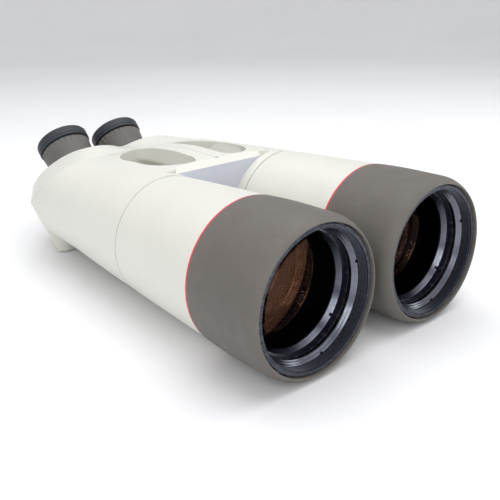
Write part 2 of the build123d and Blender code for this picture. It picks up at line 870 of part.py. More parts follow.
def make_turret_gear(side):
    """Sector gear under the face; the two mesh on the centre plane."""
    teeth = round(2 * TURRET_X / GEAR_MODULE)
    pitch = 360.0 / teeth
    root_r = TURRET_X - 1.2
    tip_r = TURRET_X + 0.9
    middle = 180.0 if side > 0 else 0.0
    phase = 0.0 if side > 0 else 0.5
    with BuildPart() as gear:
        with BuildSketch(FACE.offset(-FACE_PLATE - 0.3)):
            with Locations((side * TURRET_X, TURRET_V)):
                Circle(root_r)
            for i in range(-12, 13):
                mid = math.radians(middle + (i + phase) * pitch)
                outline = []
                for r, flank in (
                    (root_r - 0.4, -1), (TURRET_X - 0.6, -1), (TURRET_X, -1), (tip_r, -1),
                    (tip_r, 1), (TURRET_X, 1), (TURRET_X - 0.6, 1), (root_r - 0.4, 1),
                ):
                    a = mid + gear_point(teeth, r, flank)
                    outline.append((side * TURRET_X + r * math.cos(a), TURRET_V + r * math.sin(a)))
                with BuildLine():
                    Polyline(*outline, close=True)
                make_face()
            with Locations((side * TURRET_X, TURRET_V)):
                Circle(HUB_R, mode=Mode.SUBTRACT)
        extrude(amount=-5.0)
    return gear.part


def make_turret(side):
    """Disc in the slanted face with a hollow hub under it."""
    with BuildPart() as turret:
        with BuildSketch(face_section(side * TURRET_X, TURRET_V)):
            with BuildLine():
                Polyline(
                    (0, TURRET_PROUD),
                    (TURRET_R - 0.8, TURRET_PROUD),
                    (TURRET_R, TURRET_PROUD - 0.8),
                    (TURRET_R, -FACE_PLATE),
                    (HUB_R, -FACE_PLATE),
                    (HUB_R, HUB_BOTTOM),
                    (28.0, HUB_BOTTOM),
                    (28.0, -FACE_PLATE + 0.2),
                    (0, -FACE_PLATE + 0.2),
                    close=True,
                )
            make_face()
        revolve(axis=face_axis(side * TURRET_X, TURRET_V))
        with BuildSketch(FACE.offset(5.0)):
            with Locations((side * EYE_X, EYE_V)):
                Circle(BASE_BORE + 0.6)
        extrude(amount=-20.0, mode=Mode.SUBTRACT)
    return turret.part


# ---------------------------------------------------------------- eyepieces
BASE_R = 19.5  # outside of the fixed barrel
BASE_BORE = 16.5
HEAD_R = 20.5  # head of the sliding ocular
CAM_R = 22.0
SKIRT_R = 23.5
CUP_R = 26.8
RING_BOTTOM = 11.5  # heights over the slanted face
RING_TOP = 36.4
CUP_BOTTOM = 37.6
CUP_TOP = 49.5
FLUTES = 26


def turn_on_eyepiece(side, outline):
    """Solid of revolution about the eyepiece axis, in the current part builder."""
    with BuildSketch(face_section(side * EYE_X, EYE_V)) as section:
        with BuildLine():
            Polyline(*outline, close=True)
        make_face()
    revolve(section.sketch, axis=face_axis(side * EYE_X, EYE_V))


def make_eyepiece_base(side):
    """Flange on the turret and the fixed barrel that the focus ring turns on."""
    with BuildPart() as base:
        turn_on_eyepiece(
            side,
            (
                (BASE_BORE + 0.06, TURRET_PROUD), (20.8, TURRET_PROUD), (20.8, 6.6), (20.0, 7.4),
                (BASE_R, 7.4), (BASE_R, 22.3), (BASE_BORE + 0.06, 22.3),
            ),
        )
    return base.part


def make_focus_ring(side):
    """Fluted grip that screws up and down on the base and carries the ocular."""
    with BuildPart() as ring:
        turn_on_eyepiece(
            side,
            (
                (BASE_R + 0.06, RING_BOTTOM), (23.0, RING_BOTTOM), (23.4, RING_BOTTOM + 0.8),
                (25.6, RING_TOP - 0.8), (25.2, RING_TOP), (SKIRT_R + 0.3, RING_TOP), (SKIRT_R + 0.3, 25.4),
                (BASE_R + 0.06, 25.4),
            ),
        )
        for i in range(FLUTES):
            a = 2 * math.pi * i / FLUTES
            top = Vector(math.cos(a), math.sin(a), 0)
            origin = FACE.from_local_coords(Vector(side * EYE_X, EYE_V, RING_TOP + 0.5) + top * 26.15)
            with BuildSketch(Plane(origin=origin, x_dir=(1, 0, 0), z_dir=(0, 1, 1))):
                Circle(1.5)
            extrude(amount=-16.0, mode=Mode.SUBTRACT)
    return ring.part


def make_ocular_tube(side):
    """Keyed tube that slides in the base and holds the lenses."""
    with BuildPart() as tube:
        turn_on_eyepiece(
            side,
            (
                (14.0, -5.0), (BASE_BORE, -5.0), (BASE_BORE, 25.6), (HEAD_R, 25.6), (HEAD_R, 43.4),
                (14.8, 43.4), (14.8, 38.0), (13.4, 38.0), (13.4, 12.0), (14.0, 12.0),
            ),
        )
    return tube.part


def make_field_lens(side):
    with BuildPart() as lens:
        turn_on_eyepiece(side, ((0, 5.0), (8.0, 5.4), (14.0, 6.6), (14.0, 11.9), (0, 11.9)))
    return lens.part


def make_eye_lens(side):
    """Lens next to the eye, its outer face slightly hollow."""
    edge = 41.3 + sagitta(EYE_SPHERE, 14.8)
    halfway = 41.3 + sagitta(EYE_SPHERE, 7.4)
    with BuildPart() as lens:
        with BuildSketch(face_section(side * EYE_X, EYE_V)):
            with BuildLine():
                Line((0, 38.1), (14.8, 38.1))
                Line((14.8, 38.1), (14.8, edge))
                ThreePointArc((14.8, edge), (7.4, halfway), (0, 41.3))
                Line((0, 41.3), (0, 38.1))
            make_face()
        revolve(axis=face_axis(side * EYE_X, EYE_V))
    return lens.part


def make_eyecup_cam(side):
    """Sleeve that turns on the ocular's head and lifts the cup."""
    with BuildPart() as cam:
        turn_on_eyepiece(
            side,
            ((HEAD_R + 0.06, 25.8), (CAM_R, 25.8), (CAM_R, 43.0), (HEAD_R + 0.06, 43.0)),
        )
    return cam.part


def make_eyecup(side):
    """Rubber cup with a skirt that stays round the cam when the cup is up."""
    with BuildPart() as cup:
        with BuildSketch(face_section(side * EYE_X, EYE_V)):
            with BuildLine():
                Polyline(
                    (CAM_R + 0.3, 27.4), (SKIRT_R, 27.4), (SKIRT_R, CUP_BOTTOM), (CUP_R, CUP_BOTTOM),
                    (CUP_R - 0.4, CUP_TOP - 3.6),
                )
                ThreePointArc((CUP_R - 0.4, CUP_TOP - 3.6), (25.4, CUP_TOP - 1.0), (23.0, CUP_TOP))
                Polyline(
                    (23.0, CUP_TOP), (20.4, CUP_TOP), (16.6, 45.4), (16.6, 43.8), (CAM_R + 0.3, 43.8),
                    (CAM_R + 0.3, 27.4),
                )
            make_face()
        revolve(axis=face_axis(side * EYE_X, EYE_V))
    return cup.part


# ---------------------------------------------------------------- tripod mount and feet
def make_tripod_plate():
    """Shoe with a central bush, a second threaded hole and four counterbored screws."""
    with BuildPart() as plate:
        with BuildSketch(Plane.XY):
            RectangleRounded(50.0, 100.0, 8.0)
        extrude(amount=PEDESTAL_Z)
        chamfer(plate.faces().sort_by(Axis.Z)[0].edges(), length=0.8)
        with BuildSketch(Plane.XY):
            Circle(8.0)
            with Locations((0, 20.0)):
                Circle(3.175)
        extrude(amount=PEDESTAL_Z, mode=Mode.SUBTRACT)
        for x, y in PLATE_SCREWS:
            with BuildSketch(Plane.XY):
                with Locations((x, y)):
                    Circle(4.6)
            extrude(amount=5.0, mode=Mode.SUBTRACT)
            with BuildSketch(Plane.XY):
                with Locations((x, y)):
                    Circle(2.6)
            extrude(amount=PEDESTAL_Z, mode=Mode.SUBTRACT)
    return plate.part


def make_tripod_bush():
    with BuildPart() as bush:
        with BuildSketch(Plane.XY):
            Circle(8.0)
        extrude(amount=15.5)
        with BuildSketch(Plane.XY):
            Circle(4.7625)
        extrude(amount=12.0, mode=Mode.SUBTRACT)
    return bush.part


def make_plate_screws():
    with BuildPart() as screws:
        for x, y in PLATE_SCREWS:
            with BuildSketch(Plane.XY.offset(0.6)):
                with Locations((x, y)):
                    Circle(4.3)
            extrude(amount=4.4)
            with BuildSketch(Plane.XY.offset(5.0)):
                with Locations((x, y)):
                    Circle(2.45)
            extrude(amount=12.0)
            with BuildSketch(Plane.XY.offset(0.6)):
                with Locations((x, y)):
                    RegularPolygon(2.2, 6)
            extrude(amount=2.4, mode=Mode.SUBTRACT)
    return screws.part


def make_foot_pads():
    """Two rubber strips under the chin."""
    with BuildPart() as pads:
        for side in SIDES.values():
            with BuildSketch(Plane.XY):
                with Locations((side * 46.0, station(352.0))):
                    SlotOverall(40.0, 16.0)
            extrude(amount=1.0)
    return pads.part


# ---------------------------------------------------------------- write every piece
os.makedirs("parts", exist_ok=True)

SIDED = {
    "hood": make_hood,
    "trim_ring": make_trim_ring,
    "front_tube": make_front_tube,
    "tube_seal": make_tube_seal,
    "filter_ring": make_filter_ring,
    "stop_ring": make_stop_ring,
    "lens_retainer": make_lens_retainer,
    "lens_cell": make_lens_cell,
    "front_lens": make_front_lens,
    "rear_lens": make_rear_lens,
    "baffle": make_baffle,
    "shift_prism": make_shift_prism,
    "roof_prism": make_roof_prism,
    "turret_prism": make_turret_prism,
    "turret": make_turret,
    "turret_gear": make_turret_gear,
    "eyepiece_base": make_eyepiece_base,
    "focus_ring": make_focus_ring,
    "ocular_tube": make_ocular_tube,
    "field_lens": make_field_lens,
    "eye_lens": make_eye_lens,
    "eyecup_cam": make_eyecup_cam,
    "eyecup": make_eyecup,
}
for piece, make in SIDED.items():
    for hand, side in SIDES.items():
        save(make(side), f"{hand}_{piece}")

SINGLE = {
    "bridge_screw": make_bridge_screw,
    "shell_screws": make_shell_screws,
    "rear_cover": make_rear_cover,
    "cover_gasket": make_cover_gasket,
    "cover_screws": make_cover_screws,
    "prism_plate": make_prism_plate,
    "tripod_plate": make_tripod_plate,
    "tripod_bush": make_tripod_bush,
    "plate_screws": make_plate_screws,
    "foot_pads": make_foot_pads,
}
for piece, make in SINGLE.items():
    save(make(), piece)

body_envelope = make_lobes_and_deck()
save(make_front_bridge(body_envelope), "front_bridge")
whole_body = make_body(body_envelope)
for hand, side in SIDES.items():
    save(make_shell(whole_body, side), f"{hand}_body_shell")
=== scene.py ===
"""Looks for the astronomy binoculars: finishes, turned pieces, camera and light.

Metres, in the CAD frame. Stations are distances behind the front rings, in millimetres,
and radii and outlines below are in millimetres too; mm() turns them into metres.
"""

import json
import math

import bmesh
import bpy
from mathutils import Matrix, Vector


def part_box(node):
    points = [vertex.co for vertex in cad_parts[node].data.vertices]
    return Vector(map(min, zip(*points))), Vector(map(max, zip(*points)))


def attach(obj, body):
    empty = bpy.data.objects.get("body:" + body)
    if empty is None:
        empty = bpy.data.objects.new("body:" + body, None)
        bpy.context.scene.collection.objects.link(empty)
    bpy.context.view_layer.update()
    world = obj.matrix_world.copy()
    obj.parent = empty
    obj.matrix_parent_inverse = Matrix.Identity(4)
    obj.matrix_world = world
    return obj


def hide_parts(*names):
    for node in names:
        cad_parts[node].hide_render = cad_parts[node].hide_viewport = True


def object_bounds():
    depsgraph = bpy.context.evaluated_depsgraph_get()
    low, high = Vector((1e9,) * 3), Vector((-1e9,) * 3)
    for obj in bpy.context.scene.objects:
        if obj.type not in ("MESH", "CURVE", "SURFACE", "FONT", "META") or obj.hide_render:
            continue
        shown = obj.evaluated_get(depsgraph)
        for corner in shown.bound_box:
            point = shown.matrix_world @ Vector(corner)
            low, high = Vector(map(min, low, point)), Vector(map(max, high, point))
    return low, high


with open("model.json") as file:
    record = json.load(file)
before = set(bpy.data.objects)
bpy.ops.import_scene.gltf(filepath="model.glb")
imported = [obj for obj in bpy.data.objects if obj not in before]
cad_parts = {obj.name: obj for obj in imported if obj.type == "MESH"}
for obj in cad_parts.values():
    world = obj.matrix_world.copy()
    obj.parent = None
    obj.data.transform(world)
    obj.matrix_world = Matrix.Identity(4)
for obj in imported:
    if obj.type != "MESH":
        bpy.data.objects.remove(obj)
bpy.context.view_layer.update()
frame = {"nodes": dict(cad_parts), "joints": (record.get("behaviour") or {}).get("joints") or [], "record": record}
SIDES = ("left", "right")
SLOPE = Vector((0, 1, 1)).normalized()  # the way the eyepieces point


def mm(value):
    """Metres from millimetres."""
    return value / 1000.0


# ------------------------------------------------------------------ node helpers
class Nodes:
    """Small wrapper that adds and links shader nodes in one material."""

    def __init__(self, name):
        self.material = bpy.data.materials.new(name)
        self.material.use_nodes = True
        self.tree = self.material.node_tree
        self.shader = self.tree.nodes["Principled BSDF"]
        self.place = self.add("ShaderNodeTexCoord").outputs["Object"]

    def add(self, kind, **settings):
        node = self.tree.nodes.new(kind)
        for key, value in settings.items():
            setattr(node, key, value)
        return node

    def link(self, out, into):
        self.tree.links.new(out, into)

    def noise(self, scale, detail=3.0, rough=0.55):
        node = self.add("ShaderNodeTexNoise")
        node.inputs["Scale"].default_value = scale
        node.inputs["Detail"].default_value = detail
        node.inputs["Roughness"].default_value = rough
        self.link(self.place, node.inputs["Vector"])
        return node.outputs["Fac"]

    def cells(self, scale):
        node = self.add("ShaderNodeTexVoronoi", feature="SMOOTH_F1")
        node.inputs["Scale"].default_value = scale
        self.link(self.place, node.inputs["Vector"])
        return node.outputs["Distance"]

    def ramp(self, value, low, high, to_low, to_high):
        node = self.add("ShaderNodeMapRange")
        node.inputs["From Min"].default_value = low
        node.inputs["From Max"].default_value = high
        node.inputs["To Min"].default_value = to_low
        node.inputs["To Max"].default_value = to_high
        self.link(value, node.inputs["Value"])
        return node.outputs["Result"]

    def mix(self, amount, first, second):
        node = self.add("ShaderNodeMix", data_type="RGBA")
        self.link(amount, node.inputs["Factor"])
        for socket, colour in ((node.inputs["A"], first), (node.inputs["B"], second)):
            if isinstance(colour, tuple):
                socket.default_value = (*colour, 1.0)
            else:
                self.link(colour, socket)
        return node.outputs["Result"]

    def maths(self, operation, first, second):
        node = self.add("ShaderNodeMath", operation=operation)
        for socket, value in zip(node.inputs, (first, second)):
            if isinstance(value, (int, float)):
                socket.default_value = value
            else:
                self.link(value, socket)
        return node.outputs["Value"]

    def bump(self, height, strength, distance, under=None):
        node = self.add("ShaderNodeBump")
        node.inputs["Strength"].default_value = strength
        node.inputs["Distance"].default_value = distance
        self.link(height, node.inputs["Height"])
        if under:
            self.link(under, node.inputs["Normal"])
        return node.outputs["Normal"]

    def edges(self, low, high):
        """1 on worn convex edges, 0 elsewhere."""
        geometry = self.add("ShaderNodeNewGeometry")
        return self.ramp(geometry.outputs["Pointiness"], low, high, 0.0, 1.0)

    def upward(self):
        """1 on faces that look up, where dust settles."""
        geometry = self.add("ShaderNodeNewGeometry")
        split = self.add("ShaderNodeSeparateXYZ")
        self.link(geometry.outputs["Normal"], split.inputs["Vector"])
        return self.ramp(split.outputs["Z"], 0.2, 1.0, 0.0, 1.0)

    def rings(self, centre, axis, pitch):
        """Fine turning marks: a wave of the distance from an axis and along it."""
        shift = self.add("ShaderNodeVectorMath", operation="SUBTRACT")
        shift.inputs[1].default_value = centre
        self.link(self.place, shift.inputs[0])
        along = self.add("ShaderNodeVectorMath", operation="DOT_PRODUCT")
        along.inputs[1].default_value = axis
        self.link(shift.outputs["Vector"], along.inputs[0])
        length = self.add("ShaderNodeVectorMath", operation="LENGTH")
        self.link(shift.outputs["Vector"], length.inputs[0])
        total = self.maths("ADD", along.outputs["Value"], length.outputs["Value"])
        return self.maths("SINE", self.maths("MULTIPLY", total, 2 * math.pi / pitch), 0.0)

    def set(self, **values):
        for key, value in values.items():
            self.shader.inputs[key.replace("_", " ")].default_value = value

    def finish(self, colour, roughness, normal):
        for socket, value in (("Base Color", colour), ("Roughness", roughness), ("Normal", normal)):
            if value is not None:
                self.link(value, self.shader.inputs[socket])
        return self.material


# ------------------------------------------------------------------ finishes
def paint(name, colour, shade, rough):
    """Sprayed enamel: faint orange peel, tiny specks, a little dust on top faces."""
    n = Nodes(name)
    drift = n.ramp(n.noise(9.0, 2.0), 0.3, 0.7, 0.0, 1.0)
    base = n.mix(drift, colour, shade)
    specks = n.ramp(n.noise(2600.0, 1.0), 0.70, 0.78, 0.0, 0.35)
    base = n.mix(specks, base, tuple(0.72 * c for c in shade))
    dust = n.maths("MULTIPLY", n.upward(), n.ramp(n.noise(160.0, 6.0, 0.7), 0.52, 0.75, 0.0, 0.30))
    base = n.mix(dust, base, (0.62, 0.60, 0.56))
    wear = n.maths("MULTIPLY", n.edges(0.56, 0.66), n.ramp(n.noise(300.0), 0.45, 0.6, 0.0, 0.5))
    base = n.mix(wear, base, (0.80, 0.80, 0.78))
    roughness = n.ramp(n.noise(55.0, 5.0, 0.65), 0.3, 0.7, rough - 0.05, rough + 0.07)
    peel = n.bump(n.noise(700.0, 2.0), 0.10, 0.00035)
    normal = n.bump(n.noise(3200.0, 2.0), 0.10, 0.00012, peel)
    n.set(Coat_Weight=0.12, Coat_Roughness=0.25, IOR=1.48)
    return n.finish(base, roughness, normal)


def panel_paint(name, face, edge, rough):
    """The same ivory enamel with painted shade: the flat panel, which faces forward, is painted grey-blue as
    shade, and its bevel and top stay ivory.
    """
    n = Nodes(name)
    geometry = n.add("ShaderNodeNewGeometry")
    split = n.add("ShaderNodeSeparateXYZ")
    n.link(geometry.outputs["Normal"], split.inputs["Vector"])
    # painted shade: faces whose normal points forward (Y below about -0.9) take the grey-blue shaded colour, the
    # rest keep the ivory
    front_shade_mask = n.ramp(split.outputs["Y"], -0.92, -0.85, 1.0, 0.0)
    drift = n.ramp(n.noise(12.0, 2.0), 0.3, 0.7, 0.0, 1.0)
    flat = n.mix(drift, face, tuple(0.93 * c for c in face))
    base = n.mix(front_shade_mask, edge, flat)
    roughness = n.ramp(n.noise(55.0, 5.0, 0.65), 0.3, 0.7, rough - 0.05, rough + 0.07)
    n.set(Coat_Weight=0.12, Coat_Roughness=0.25)
    return n.finish(base, roughness, n.bump(n.noise(700.0, 2.0), 0.10, 0.00035))


def rubber(name, colour, pale, rough, grain):
    """Moulded rubber: pebbled skin, paler handling marks and dust."""
    n = Nodes(name)
    patch = n.ramp(n.noise(22.0, 4.0, 0.6), 0.35, 0.7, 0.0, 1.0)
    base = n.mix(patch, colour, tuple(1.12 * c for c in colour))
    smear = n.ramp(n.noise(90.0, 8.0, 0.75), 0.58, 0.80, 0.0, 0.35)
    base = n.mix(smear, base, pale)
    wear = n.maths("MULTIPLY", n.edges(0.54, 0.62), n.ramp(n.noise(400.0), 0.4, 0.6, 0.1, 0.5))
    base = n.mix(wear, base, pale)
    roughness = n.ramp(n.noise(70.0, 5.0), 0.3, 0.7, rough - 0.07, rough + 0.08)
    pebble = n.bump(n.cells(grain), 0.35, 0.00022)
    normal = n.bump(n.noise(grain * 2.5, 3.0), 0.20, 0.00010, pebble)
    n.set(Specular_IOR_Level=0.35)
    return n.finish(base, roughness, normal)


def turned(name, colour, rough, metallic, centre, axis, pitch, black_after=None):
    """Machined metal, plain or anodised, with turning marks round an axis.

    Past black_after, a distance in Y behind the centre, it is dull black.
    """
    n = Nodes(name)
    tone = n.ramp(n.noise(60.0, 4.0), 0.3, 0.7, 0.0, 1.0)
    base = n.mix(tone, colour, tuple(0.82 * c for c in colour))
    wear = n.maths("MULTIPLY", n.edges(0.55, 0.65), n.ramp(n.noise(500.0), 0.4, 0.65, 0.0, 0.6))
    base = n.mix(wear, base, (0.60, 0.60, 0.62))
    if black_after:
        split = n.add("ShaderNodeSeparateXYZ")
        n.link(n.place, split.inputs["Vector"])
        edge = centre.y + black_after
        behind = n.ramp(split.outputs["Y"], edge, edge + 0.0001, 0.0, 1.0)
        base = n.mix(behind, base, (0.008, 0.009, 0.022))
    lathe_marks = n.rings(centre, axis, pitch)
    roughness = n.ramp(n.noise(240.0, 5.0), 0.3, 0.7, rough - 0.05, rough + 0.08)
    normal = n.bump(lathe_marks, 0.30, pitch * 0.10)
    normal = n.bump(n.noise(2200.0, 2.0), 0.08, 0.00005, normal)
    n.set(Metallic=metallic)
    return n.finish(base, roughness, normal)


def coated_glass(name, sheen, body, ior):
    """Polished glass with a coloured coating that holds reflections down, and a faint haze."""
    n = Nodes(name)
    haze = n.ramp(n.noise(30.0, 4.0), 0.45, 0.80, 0.0, 0.15)
    base = n.mix(haze, body, tuple(0.8 * c for c in body))
    roughness = n.ramp(n.noise(20.0, 2.0), 0.5, 0.85, 0.0, 0.02)
    normal = n.bump(n.noise(12.0, 1.0), 0.005, 0.00005)
    n.set(Transmission_Weight=1.0, IOR=ior, Specular_Tint=(*sheen, 1.0))
    return n.finish(base, roughness, normal)


def plastic(name, colour, rough, grain):
    """Moulded plastic with a spark-eroded texture."""
    n = Nodes(name)
    base = n.mix(n.ramp(n.noise(40.0, 3.0), 0.3, 0.7, 0.0, 1.0), colour, tuple(1.25 * c for c in colour))
    roughness = n.ramp(n.noise(120.0, 4.0), 0.3, 0.7, rough - 0.06, rough + 0.06)
    return n.finish(base, roughness, n.bump(n.noise(2400.0, 3.0), grain, 0.00012))


def front_centre(side):
    """Centre of the front face of a barrel's filter ring."""
    low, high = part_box(f"{side}_filter_ring")
    return Vector(((low.x + high.x) / 2, low.y, (low.z + high.z) / 2))


FRONT_CENTRE = {side: front_centre(side) for side in SIDES}
JOINT_PLACE = {j["name"]: Vector(j["pos_m"]) for j in frame["joints"] if "pos_m" in j}
EYE_PLACE = {side: JOINT_PLACE[f"{side}_focus_turn"] for side in SIDES}  # in the slanted face
BARREL = Vector((0, 1, 0))  # backwards along a barrel
SLEEVE_START = 0.0245  # metres behind the front where a lens retainer turns dull black


def make_finishes():
    """One material per slot; turned slots get one per side, centred on that side's axis."""
    plain = {
        "white_paint": paint("ivory enamel", (0.70, 0.695, 0.635), (0.66, 0.655, 0.60), 0.36),
        "turret_paint": paint("turret enamel", (0.71, 0.705, 0.66), (0.67, 0.665, 0.62), 0.32),
        # panel: the grey-blue first colour is painted shade on forward-facing faces; the second colour is the
        # ivory paint of the bevel and top
        "panel_paint": panel_paint("panel enamel with painted shade", (0.60, 0.62, 0.70), (0.71, 0.705, 0.65), 0.38),
        "red_trim": paint("red enamel", (0.66, 0.035, 0.035), (0.55, 0.03, 0.03), 0.35),
        "hood_rubber": rubber("hood rubber", (0.122, 0.111, 0.100), (0.22, 0.21, 0.195), 0.55, 900.0),
        "grip_grey": rubber("grip rubber", (0.115, 0.108, 0.102), (0.20, 0.19, 0.18), 0.48, 1200.0),
        "eyecup_rubber": rubber("eyecup rubber", (0.030, 0.034, 0.042), (0.12, 0.13, 0.15), 0.50, 1300.0),
        "foot_rubber": rubber("foot rubber", (0.03, 0.03, 0.03), (0.10, 0.10, 0.10), 0.65, 1000.0),
        "seal_rubber": rubber("seal rubber", (0.02, 0.02, 0.02), (0.08, 0.08, 0.08), 0.45, 1500.0),
        "baffle_black": plastic("baffle black", (0.005, 0.005, 0.006), 0.90, 0.03),
        "cam_plastic": plastic("cam plastic", (0.012, 0.012, 0.013), 0.45, 0.25),
        "objective_glass": coated_glass("objective glass", (1.0, 0.42, 0.22), (0.90, 0.84, 0.78), 1.42),
        "eyepiece_glass": coated_glass("eyepiece glass", (0.35, 0.9, 0.55), (0.80, 0.88, 0.84), 1.50),
        "prism_glass": coated_glass("prism glass", (0.8, 0.9, 1.0), (0.92, 0.95, 0.97), 1.52),
        "screw_steel": turned("screw steel", (0.42, 0.42, 0.43), 0.30, 1.0, (0, 0, 0), (0, 0, 1), 0.0004),
        "gear_brass": turned("gear brass", (0.55, 0.40, 0.14), 0.30, 1.0, (0, 0, 0), SLOPE, 0.0005),
    }
    sided = {}
    for side in SIDES:
        front = FRONT_CENTRE[side]
        eye = EYE_PLACE[side]
        sided[side] = {
            "dark_anodised": turned(
                f"{side} front ring", (0.030, 0.034, 0.050), 0.30, 0.6, front, BARREL, 0.0007
            ),
            "bright_ring": turned(
                f"{side} bright ring", (0.17, 0.18, 0.215), 0.20, 1.0, front, BARREL, 0.0006, SLEEVE_START
            ),
            "lens_black": turned(
                f"{side} lens cell", (0.008, 0.010, 0.026), 0.32, 0.4, front, BARREL, 0.0009
            ),
            "black_anodised": turned(
                f"{side} black metal", (0.016, 0.016, 0.018), 0.42, 0.5, eye, SLOPE, 0.0006
            ),
        }
    return plain, sided


def dress(piece, slot, side="left"):
    """Give a piece the finish of a slot."""
    material = PLAIN.get(slot) or SIDED[side][slot]
    piece.data.materials.clear()
    piece.data.materials.append(material)


PLAIN, SIDED = make_finishes()


def dress_cad():
    """Every CAD node that stays on show gets the finish of its slot."""
    for entry in frame["record"]["subparts"]:
        node = entry["node"]
        side = node.split("_")[0]
        slot = "lens_black" if node.endswith("lens_cell") else entry["material_slot"]
        dress(frame["nodes"][node], slot, side if side in SIDES else "left")


# ------------------------------------------------------------------ turned pieces
def turn(name, outline, centre, axis, segments=192, soft=0.25, angle=28.0):
    """Closed outline of (radius, along) millimetres turned about an axis, edges softened."""
    axis = Vector(axis).normalized()
    across = axis.orthogonal().normalized()
    other = axis.cross(across)
    mesh = bpy.data.meshes.new(name)
    build = bmesh.new()
    rings = []
    for radius, along in outline:
        if radius < 1e-6:
            rings.append([build.verts.new(centre + axis * mm(along))])
            continue
        ring = []
        for i in range(segments):
            a = 2 * math.pi * i / segments
            way = across * math.cos(a) + other * math.sin(a)
            ring.append(build.verts.new(centre + axis * mm(along) + way * mm(radius)))
        rings.append(ring)
    for first, second in zip(rings, rings[1:] + rings[:1]):
        for i in range(segments):
            j = (i + 1) % segments
            corners = []
            for ring, k in ((first, i), (first, j), (second, j), (second, i)):
                vert = ring[k % len(ring)]
                if vert not in corners:
                    corners.append(vert)
            if len(corners) > 2:
                build.faces.new(corners)
    bmesh.ops.recalc_face_normals(build, faces=build.faces)
    build.to_mesh(mesh)
    build.free()
    mesh.shade_smooth()
    mesh.set_sharp_from_angle(angle=math.radians(angle))
    piece = bpy.data.objects.new(name, mesh)
    bpy.context.scene.collection.objects.link(piece)
    if soft:
        edge = piece.modifiers.new("soft edges", "BEVEL")
        edge.width = mm(soft)
        edge.segments = 3
        edge.limit_method = "ANGLE"
        edge.angle_limit = math.radians(angle)
        edge.harden_normals = True
    return piece


def fit(piece, body, slot, side, *nodes):
    """Ride a piece on a body in place of CAD nodes, with a slot's finish."""
    dress(piece, slot, side)
    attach(piece, body)
    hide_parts(*nodes)
    return piece


def arc(first, middle, last, count=12):
    """Points of the circular arc through three (radius, along) points, ends included."""
    ax, ay = first
    bx, by = middle
    cx, cy = last
    twice = 2 * (ax * (by - cy) + bx * (cy - ay) + cx * (ay - by))
    ox = ((ax**2 + ay**2) * (by - cy) + (bx**2 + by**2) * (cy - ay) + (cx**2 + cy**2) * (ay - by)) / twice
    oy = ((ax**2 + ay**2) * (cx - bx) + (bx**2 + by**2) * (ax - cx) + (cx**2 + cy**2) * (bx - ax)) / twice
    radius = math.hypot(ax - ox, ay - oy)
    start = math.atan2(ay - oy, ax - ox)
    through = (math.atan2(by - oy, bx - ox) - start) % (2 * math.pi)
    sweep = (math.atan2(cy - oy, cx - ox) - start) % (2 * math.pi)
    if through > sweep:
        sweep -= 2 * math.pi
    points = []
    for i in range(count + 1):
        a = start + sweep * i / count
        points.append((ox + radius * math.cos(a), oy + radius * math.sin(a)))
    return points


HOOD_END = 66.5  # station where the rubber sleeve stops
TRIM_END = 68.3  # station where the red ring stops
TUBE_END = 165.8  # station where the white taper stops
BORE_STEP = 72.0  # station where the tube's bore narrows behind the lens cell
HOOD_R = 57.0
LIP_DEPTH = -2.0  # the lip stands this far in front of the filter ring
SEAT_R = 52.0  # tube under the hood and trim ring
NOSE_R = 51.2  # first step of the tube, and the filter ring
CELL_R = 49.6  # bore that holds rings and lens cell
THREAD_R = 47.5  # crest of the filter thread
THREAD_DEPTH = 0.55
THREAD_PITCH = 0.9
THREAD_TURNS = 8
RIM_DROP = 3.58  # how far the front lens's rim lies behind its vertex
RIM_WIDTH = 6.1  # ground edge of the front lens
CUP_R = 26.75
CUP_INNER_R = 22.3
CUP_TOP = 49.25


def make_hood(side):
    """Rubber sleeve over the tube's front, thick round lip, slightly tapered behind."""
    outline = [(SEAT_R, HOOD_END), (55.5, HOOD_END)]
    outline += arc((55.6, HOOD_END - 0.3), (56.6, 50.0), (HOOD_R, 30.0), 8)
    outline.append((HOOD_R, 12.0))
    outline += arc((56.95, 9.0), (55.6, 2.2), (53.0, LIP_DEPTH), 12)
    outline += arc((52.8, LIP_DEPTH), (52.2, -1.8), (SEAT_R, -1.2), 3)
    hood = turn(f"{side}_hood_sleeve", outline, FRONT_CENTRE[side], BARREL, 224, soft=0.3, angle=35.0)
    return fit(hood, "housing", "hood_rubber", side, f"{side}_hood")


def make_trim(side):
    """Thin red ring behind the hood."""
    outline = [(SEAT_R, HOOD_END), (55.3, HOOD_END), (55.3, TRIM_END), (SEAT_R, TRIM_END)]
    trim = turn(f"{side}_red_ring", outline, FRONT_CENTRE[side], BARREL, 224, soft=0.2)
    return fit(trim, "housing", "red_trim", side, f"{side}_trim_ring")


def make_tube(side):
    """Front tube: seat under the hood, then the long white taper."""
    outline = [(CELL_R, 2.4), (NOSE_R, 2.4), (NOSE_R, 5.0), (SEAT_R, 5.0), (SEAT_R, TRIM_END)]
    outline += arc((55.0, TRIM_END), (52.75, 119.0), (50.1, TUBE_END), 20)
    outline += [(47.0, TUBE_END), (47.0, 177.5), (44.0, 177.5), (47.6, BORE_STEP)]
    outline.append((CELL_R, BORE_STEP))
    tube = turn(f"{side}_white_tube", outline, FRONT_CENTRE[side], BARREL, 224, soft=0.25)
    return fit(tube, "housing", "white_paint", side, f"{side}_front_tube")


def make_threaded_ring(side):
    """Front ring with the filter thread cut in its bore."""
    outline = [(THREAD_R + 0.7, 0.0), (50.8, 0.0), (NOSE_R, 0.4), (NOSE_R, 2.4)]
    outline += [(CELL_R, 2.4), (CELL_R, 8.4)]
    for turn_number in reversed(range(THREAD_TURNS)):
        root = 1.0 + THREAD_PITCH * turn_number
        outline += [(THREAD_R, root + THREAD_PITCH * 0.45), (THREAD_R + THREAD_DEPTH, root)]
    ring = turn(f"{side}_threaded_ring", outline, FRONT_CENTRE[side], BARREL, 224, soft=0.0)
    return fit(ring, "housing", "dark_anodised", side, f"{side}_filter_ring")


